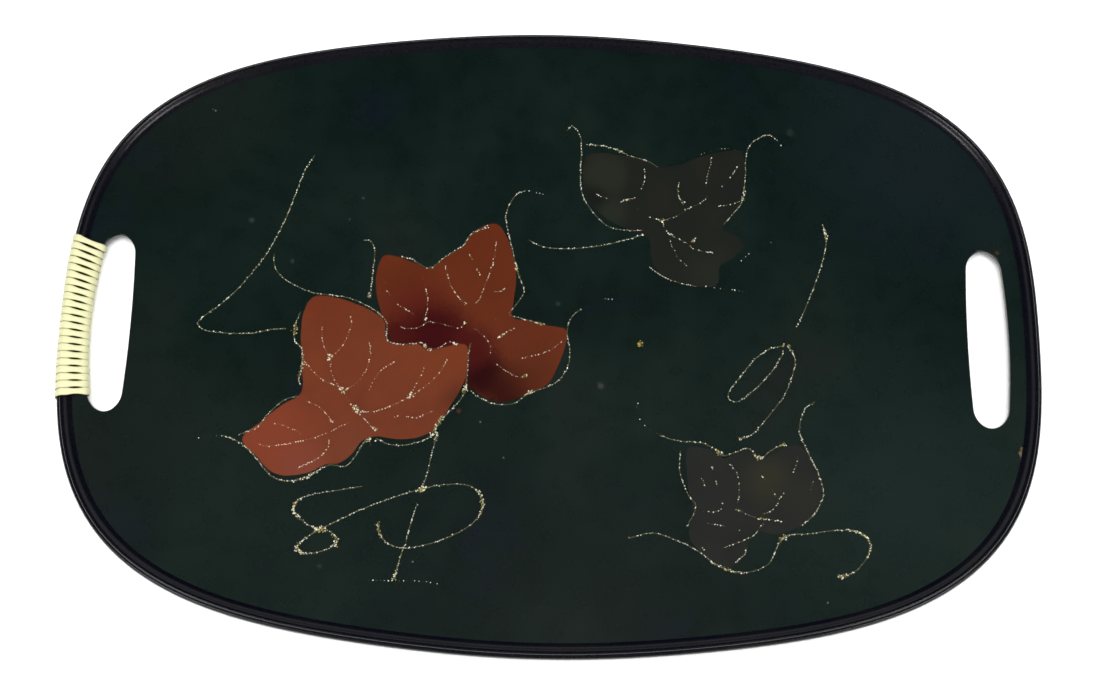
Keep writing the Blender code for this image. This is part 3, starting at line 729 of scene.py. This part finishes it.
glitterLines = {
    # strokes of paste on the panel, in millimetres
    "vine_far_left": [
        (-126, 93), (-129, 88), (-132, 80), (-138, 60), (-144, 45), (-150, 34), (-160, 20),
        (-170, 9.5), (-177, 4), (-180, 0), (-176, -3.7), (-165, -5), (-152, -4.8), (-142, -2.6),
        (-134.5, -2),
    ],
    "vine_over_front_leaf": [
        (-143.5, 38), (-143, 32), (-139, 26), (-132, 21.5), (-122, 17.5), (-111, 16.2),
        (-103, 14.8), (-94, 11), (-87, 6.5), (-83.3, 1), (-83, -6.5), (-78, -9.2), (-70, -8.8),
        (-65.5, -8), (-62.5, -11),
    ],
    "hook_left_of_back_leaf": [(-97.5, 46.5), (-94, 46), (-91.6, 41), (-91.8, 30), (-93, 15)],
    "front_leaf_left_edge": [
        (-128, 7), (-130, 0), (-130, -8), (-126, -13), (-125.5, -22), (-126.7, -28), (-125.5, -32),
    ],
    "front_leaf_tip_edge": [(-126, -37.5), (-133, -39.5), (-141, -47), (-146, -54), (-155, -58)],
    "front_leaf_lower_edge": [
        (-163, -58.5), (-154, -62), (-146, -69), (-138, -78), (-130, -81), (-120, -79), (-110, -73),
        (-105, -72.7), (-100.5, -73), (-96, -68), (-92, -61), (-88.5, -59.3),
    ],
    "front_leaf_right_edge": [
        (-86, -58.5), (-80, -61.2), (-73, -61.7), (-65, -60), (-58.5, -56.5), (-54.5, -49),
        (-49, -43), (-43.5, -36), (-41.8, -28), (-41, -12), (-39.8, -7.5),
    ],
    "stem_upper": [(-55.5, -55), (-56.5, -60), (-58, -67), (-60, -77), (-62, -84), (-63, -86)],
    "stem_middle": [(-64, -91), (-67, -102), (-69, -111.2)],
    "stem_foot": [(-69, -111.2), (-70.5, -115.3), (-72.5, -123), (-74, -129)],
    "scroll_large": [
        (-83, -100.5), (-82, -106), (-78, -111), (-70, -113.3), (-60, -111.7), (-49, -108),
        (-38, -101.8), (-32, -94), (-33, -86), (-39, -81.5), (-50, -81.2), (-62, -83.7),
        (-78, -89), (-92, -94.8), (-108, -103), (-113, -105),
    ],
    "scroll_small_loop": [
        (-119.5, -110.5), (-122.5, -114), (-118, -117), (-108, -115), (-103, -111),
        (-105, -107), (-108.5, -105.3), (-113, -105.5), (-117, -108.5), (-119.5, -110.5),
    ],
    "scroll_small_tail": [
        (-111.5, -105.3), (-114.5, -104), (-120, -101), (-125, -96), (-123.5, -91), (-116, -87.5),
        (-104, -85.3), (-91, -82.8),
    ],
    "back_leaf_top_edge": [
        (-77, 37.8), (-72, 36.5), (-67, 33.5), (-62, 32.3), (-54, 39), (-46, 44.5), (-42, 51),
        (-33, 55.5),
    ],
    "vine_centre": [
        (-14, 76), (-19.5, 73), (-23.5, 65), (-23.7, 57), (-20, 42), (-17.5, 31), (-13.8, 21),
        (-17, 14), (-21, 8), (-15, 5.8), (-3, 2.8),
    ],
    "back_leaf_right_edge": [
        (15.5, 11.5), (11, 7), (8.8, 0), (10.2, -11), (9.5, -19), (5, -26.5), (-2, -30.7),
        (-10, -33.5), (-17, -38.8), (-26, -39.8), (-34, -37), (-39.5, -33),
    ],
    "upper_leaf_left_edge": [
        (7, 110.3), (9.5, 112.7), (13, 109), (14.7, 102), (14.5, 80), (18, 69), (28, 57.5),
        (38, 54.8), (47.5, 55),
    ],
    "vine_to_upper_leaf": [
        (-12, 48.5), (-7, 45.7), (0, 44.2), (12, 44.2), (28, 46.6), (40, 50), (47.5, 52.8),
    ],
    "upper_leaf_top_edge": [(17, 102.5), (26, 101.8), (34, 99.5), (40, 96.5), (49, 94), (55, 90.3)],
    "upper_leaf_right_edge": [
        (118, 107), (113, 109.7), (105, 105.5), (101.5, 98), (100.7, 84), (99, 72), (93, 63.5),
        (89, 59),
    ],
    "upper_leaf_lower_edge": [(51, 34.5), (58, 29.7), (66, 26.5), (75, 24.8)],
    "vine_far_right": [(141, 59.5), (142.3, 50), (139, 36), (133.5, 21), (129, 10), (125.8, 3.5)],
    "bow_loop": [
        (119.5, -6), (112, -8), (104, -14), (96, -24), (91, -31), (91.5, -35), (96, -35.7),
        (104, -29.5), (112, -21), (117.5, -12.5), (119, -8.5),
    ],
    "bow_tail": [
        (121.5, -6), (124.8, -13), (123.5, -21), (119, -32), (111, -43), (102, -53), (95.5, -55),
    ],
    "lower_leaf_right_edge": [
        (134, -35.5), (129, -39.5), (126.2, -50), (129.5, -60), (135, -72), (137.3, -82),
        (133, -92), (125.5, -99),
    ],
    "scroll_under_lower_leaf": [
        (143, -123.5), (151, -121), (158, -113.5), (159.5, -106), (154, -101), (144, -100.3),
        (130, -102.3), (119, -103.5), (114.5, -108), (110, -117), (103, -121), (94, -122),
        (84, -118.5), (74, -111.5), (62, -106), (52, -103.5), (40, -106.5),
    ],
    "lower_leaf_top_edge": [
        (56, -54), (65, -56.7), (77, -57.6), (84, -60.8), (88, -63.8), (94, -62), (100.5, -60),
        (106, -65), (112, -60.5), (119, -57),
    ],
    "lower_leaf_left_edge": [(66.5, -62), (66, -72), (70, -83.5), (74, -90), (69.5, -100)],
}
lineNotes = {
    # strokes that are thinner or fuller than the rest
    "vine_over_front_leaf": 0.85, "vine_centre": 0.75, "vine_to_upper_leaf": 0.75, "vine_far_right": 0.85,
    "upper_leaf_left_edge": 0.8, "upper_leaf_right_edge": 0.7, "upper_leaf_lower_edge": 0.5,
    "upper_leaf_top_edge": 0.8, "lower_leaf_left_edge": 0.8, "back_leaf_right_edge": 0.85,
    "front_leaf_left_edge": 1.15, "front_leaf_right_edge": 1.1, "front_leaf_lower_edge": 1.1,
    "stem_foot": 1.15, "scroll_small_loop": 1.2, "scroll_large": 1.05,
}
veins = {
    # the same paste, laid thinner and more broken over the leaves
    "veinsFrontLeaf": [
        [(-126, -17), (-121, -23), (-115, -28.5), (-109, -31), (-104, -34), (-101, -39), (-97, -44),
         (-91, -50), (-86.5, -54.5)],
        [(-116.5, 0), (-116, -7), (-114, -13), (-111.5, -16.5)],
        [(-102, 5.5), (-101.5, 1), (-103, -5), (-106.5, -12), (-111, -16.5)],
        [(-111.5, -17), (-110, -25), (-107, -31), (-104, -33.5)],
        [(-92, -8.5), (-91, -13), (-92, -21), (-95, -27), (-99, -31.5), (-103, -34)],
        [(-79, -19), (-84, -22), (-88, -27), (-91, -34.5)],
        [(-63, -20), (-65, -26), (-67.5, -31), (-70, -36)],
        [(-52, -17), (-55, -23), (-60, -29), (-66, -34), (-70, -36.5), (-76, -40), (-84, -43.5),
         (-91, -45), (-97, -44)],
        [(-77, -47), (-75, -46.8)],
        [(-71, -47), (-66, -47.5), (-61, -45), (-58, -44)],
        [(-122, -40), (-117, -42), (-112, -46), (-108, -51)],
        [(-137, -52), (-132, -53), (-126, -55.5), (-123.5, -57)],
        [(-144.5, -62.5), (-140, -63.5), (-132, -62.5), (-125, -61), (-118, -59), (-111, -56.5),
         (-105, -53), (-100, -50.5)],
        [(-109.5, -60), (-110, -64), (-113, -68), (-118, -71.5), (-125, -74.5)],
    ],
    "veinsBackLeaf": [
        [(-86, 23.6), (-86, 22.2)],
        [(-84, 19), (-82, 16)],
        [(-78.5, 12), (-75, 10), (-70, 7)],
        [(-66, 26.3), (-66, 25.6)],
        [(-64.5, 23.5), (-63.5, 18), (-63, 10), (-64, 5), (-64, 2), (-67, 0), (-72, -0.8), (-77, 0)],
        [(-62, 3.2), (-55, 2), (-50, 0.5), (-46, 0), (-43, 3.5)],
        [(-55, 34), (-53.5, 28), (-51, 22), (-47, 16), (-43, 12.5)],
        [(-43, 41), (-41, 37)],
        [(-38.5, 32), (-36.5, 28.5)],
        [(-29, 48), (-29, 42), (-30, 36), (-31, 32), (-33, 26), (-35, 20), (-37, 15), (-39.5, 12.5)],
        [(-23, 22), (-26, 20), (-30, 19.5)],
        [(-39, 0), (-36, -2), (-32, -6), (-30, -10), (-30.5, -14.5)],
        [(-18, 0.5), (-22, -1.5), (-25, -4), (-27, -5)],
        [(6.5, -5.5), (4, -8), (0, -11), (-5, -13), (-14, -15.5)],
        [(-27, -18.5), (-23, -21.5), (-18, -24.5), (-11, -24.5)],
        [(-62, -11.8), (-56, -10.3), (-51, -7.5), (-47, -9)],
        [(-28, 5.4), (-28, 4.8)],
    ],
    "veinsUpperLeaf": [
        [(22, 75), (26, 73), (29, 72)],
        [(36, 70.5), (40, 72), (43, 72.5)],
        [(48, 89), (48, 83), (46, 77)],
        [(44, 67), (47, 65)],
        [(50, 62.5), (55, 61), (57, 60), (59, 56), (62, 52.5), (66, 50.5), (70, 48), (74, 45),
         (80, 43.8), (84, 43)],
        [(57, 60.5), (62, 62), (66, 64), (70, 67), (75, 69.5), (79, 72), (81, 74.5)],
        [(66, 81.5), (65.5, 76), (67, 72), (69, 70)],
        [(83, 96), (82.5, 92), (81, 87), (80, 79)],
        [(97, 91.5), (95, 88), (92.5, 84.5)],
        [(90, 81), (88, 80)],
        [(100, 73), (94, 70.5), (86, 69)],
        [(61, 50), (63.5, 44), (66, 39.5), (70, 36)],
        [(73, 49), (75, 52)],
    ],
    "veinsLowerLeaf": [
        [(81.5, -69), (83, -71.5)],
        [(77, -76), (79, -80)],
        [(84, -76.5), (85, -80)],
        [(90, -67), (94, -72), (95.5, -78), (95.3, -84), (94.5, -87.5)],
        [(78, -92.5), (83, -92.3), (86.5, -91)],
        [(86, -87), (88, -88.5)],
        [(80, -98), (86, -99), (89, -99.5)],
        [(93.5, -91), (97, -92), (101, -94), (106, -95.5), (112, -96), (118, -96.5)],
        [(94, -100.5), (97, -102.5)],
        [(107, -74), (109, -75.5)],
        [(112, -80), (114, -84.5)],
        [(117.5, -82.5), (114, -88), (111, -91.5), (107, -93)],
        [(125, -63.5), (124.5, -66.5), (122.5, -72)],
        [(132.5, -76), (130.5, -80.5)],
        [(107, -98), (103, -103), (98, -106), (92, -108.5), (86, -110.5)],
        [(98.5, -110), (98, -113), (93, -117.5)],
        [(76, -110), (79, -112)],
    ],
}
faintLines = [
    # dotted remains of strokes that have rubbed off
    [(-175, -60), (-169, -59), (-163, -58.5)],
    [(-86, -129.5), (-74, -129.5), (-60, -129.5), (-52, -130.5)],
    [(-5, 74), (-14, 76)],
    [(45, -38), (44, -41)],
    [(46, -46), (50, -50.5), (56, -54)],
    [(120, 104), (118, 107)],
    [(76, 97.5), (86, 101), (92, 101.5), (100, 100)],
    [(98, 39), (103, 44)],
    [(108, 48), (114, 49.5), (120, 50)],
    [(80, 25), (88, 23.8), (95, 23.2), (104, 21.5)],
    [(26, 17), (32, 17)],
]


def makeGrains():
    # glitter and foil grains: each grain has its own tone, from olive and straw to white, some gilt; the pale
    # to white tones are painted glints, colour standing in for grains catching the light
    material, tree, shader = newMaterial("gildedGlitterGrains")
    tone = addNode(tree, "ShaderNodeAttribute", {"attribute_name": "grainTone"})
    # stops from 0.66 to 0.83 are the pale painted glints; olive below and gilt above are the paste's own
    # colours
    ramp = rampStops(addNode(tree, "ShaderNodeValToRGB", links={"Fac": tone.outputs["Fac"]}), [
        (0.0, "#26281b"), (0.25, "#5b5a43"), (0.5, "#8f8d74"), (0.7, "#b9b7a2"), (0.82, "#dedccd"),
        (0.84, "#9c8b43"), (1.0, "#6f6026"),
    ])
    place = addNode(tree, "ShaderNodeTexCoord").outputs["Object"]
    flecks = addNode(tree, "ShaderNodeTexNoise", {"Scale": 1 / (0.25 * mm), "Detail": 1.0}, {"Vector": place})
    gain = addNode(tree, "ShaderNodeMapRange",
                   {"From Min": 0.3, "From Max": 0.7, "To Min": 0.8, "To Max": 1.15},
                   {"Value": flecks.outputs["Fac"]})
    shaded = addNode(tree, "ShaderNodeVectorMath", {"operation": "SCALE"},
                     {0: ramp.outputs["Color"], "Scale": gain.outputs["Result"]})
    tree.links.new(shaded.outputs["Vector"], shader.inputs["Base Color"])
    shader.inputs["Roughness"].default_value = 0.35
    shader.inputs["Metallic"].default_value = 0.2
    return material


def fullnessAt(place):
    best = 0.0
    for x, y, reach, fullness in thickPlaces:
        away = math.hypot(place.x / mm - x, place.y / mm - y)
        if away < reach:
            best = max(best, fullness * (1 - (away / reach) ** 2))
    return best


def strewGrains(bm, tone, place, along, width, rng):
    bright = rng.random() < pasteSet["brightShare"]
    size = rng.uniform(*pasteSet["brightSize" if bright else "dullSize"]) * (0.85 + 0.15 * width)
    side = rng.gauss(0, pasteSet["spread"]) * width
    ahead = rng.uniform(-0.5, 0.5) * pasteSet["grainStep"]
    spot = place + along * ahead + Vector((-along.y, along.x, 0)) * side
    spot.z = panelTop + pasteSet["beadHeight"] * (0.7 + 0.5 * rng.random())
    turn = Euler([rng.uniform(0, 3.14) for _ in range(3)]).to_matrix().to_4x4()
    shape = Matrix.Diagonal((size, size * rng.uniform(0.6, 1.0), size * rng.uniform(0.6, 0.9), 1.0))
    grain = bmesh.ops.create_icosphere(bm, subdivisions=1, radius=1.0,
                                       matrix=Matrix.Translation(spot) @ turn @ shape)
    gilt = 0.04 + 0.36 * min(1.0, max(0.0, width - 1.0))
    value = rng.uniform(*pasteSet["brightTone" if bright else "dullTone"])
    if rng.random() < gilt:
        value = rng.uniform(*pasteSet["giltTone"])
    for vert in grain["verts"]:
        vert[tone] = value


def layGlue(bm, tone, route, halfWidth):
    if len(route) < 2:
        return
    made = bmesh.ops.create_grid(bm, x_segments=len(route) - 1, y_segments=4, size=1.0)
    for vert in made["verts"]:
        step = round((vert.co.x + 1) / 2 * (len(route) - 1))
        side = vert.co.y
        place, along, width = route[step]
        half = halfWidth * width
        vert.co = place + Vector((-along.y, along.x, 0)) * (side * half)
        vert.co.z = panelTop - pasteSet["sunk"] + pasteSet["beadHeight"] * (1 - side ** 4)
        vert[tone] = pasteSet["glueTone"]


def buildPaste(name, lines, weight, seed, replaced, density=1.0):
    rng = random.Random(pasteSet["seed"] + seed)
    bm = bmesh.new()
    tone = bm.verts.layers.float.new("grainTone")
    for points in lines:
        walk = smoothRoute(points, pasteSet["glueStep"])
        if density >= 1:
            widths = [weight * (0.85 + 0.75 * fullnessAt(place)) for place, along in walk]
            layGlue(bm, tone, [(*stop, width) for stop, width in zip(walk, widths)], pasteSet["beadHalf"])
        for place, along in smoothRoute(points, pasteSet["grainStep"] / min(1.0, density)):
            full = fullnessAt(place)
            for _ in range(1 + int(full * pasteSet["pileUp"] + rng.random())):
                if rng.random() < pasteSet["caughtShare"]:
                    strewGrains(bm, tone, place, along, weight * (0.8 + full * 1.25), rng)
    return placePiece(name, bm, paste, replaced)


paste = makeGrains()
for number, (node, points) in enumerate(glitterLines.items()):
    words = node.split("_")
    pieceName = words[0] + "".join(word.capitalize() for word in words[1:])
    buildPaste(pieceName, [points], lineNotes.get(node, 1.0), number, [node])
for number, (name, lines) in enumerate(veins.items()):
    buildPaste(name, lines, veinSet["weight"], veinSet["seed"] + number, None, veinSet["density"])
buildPaste("rubbedOffDots", faintLines, dotSet["weight"], dotSet["seed"], None, dotSet["density"])


# gold spot: one dab of paste near the middle, all of its grains gilt

spotSet = dict(x=46 * mm, y=-6.5 * mm, radius=1.5 * mm, grains=46, width=1.2, giltTone=0.87)


def buildSpot():
    rng = random.Random(pasteSet["seed"])
    bm = bmesh.new()
    tone = bm.verts.layers.float.new("grainTone")
    for _ in range(spotSet["grains"]):
        turn = rng.uniform(0, 2 * math.pi)
        away = spotSet["radius"] * math.sqrt(rng.random())
        centre = Vector((spotSet["x"] + away * math.cos(turn), spotSet["y"] + away * math.sin(turn), 0))
        strewGrains(bm, tone, centre, Vector((1, 0, 0)), spotSet["width"], rng)
    for vert in bm.verts:
        vert[tone] = max(vert[tone], spotSet["giltTone"])
    placePiece("goldSpot", bm, paste, ["gold_spot"])


buildSpot()
print("glitter laid")
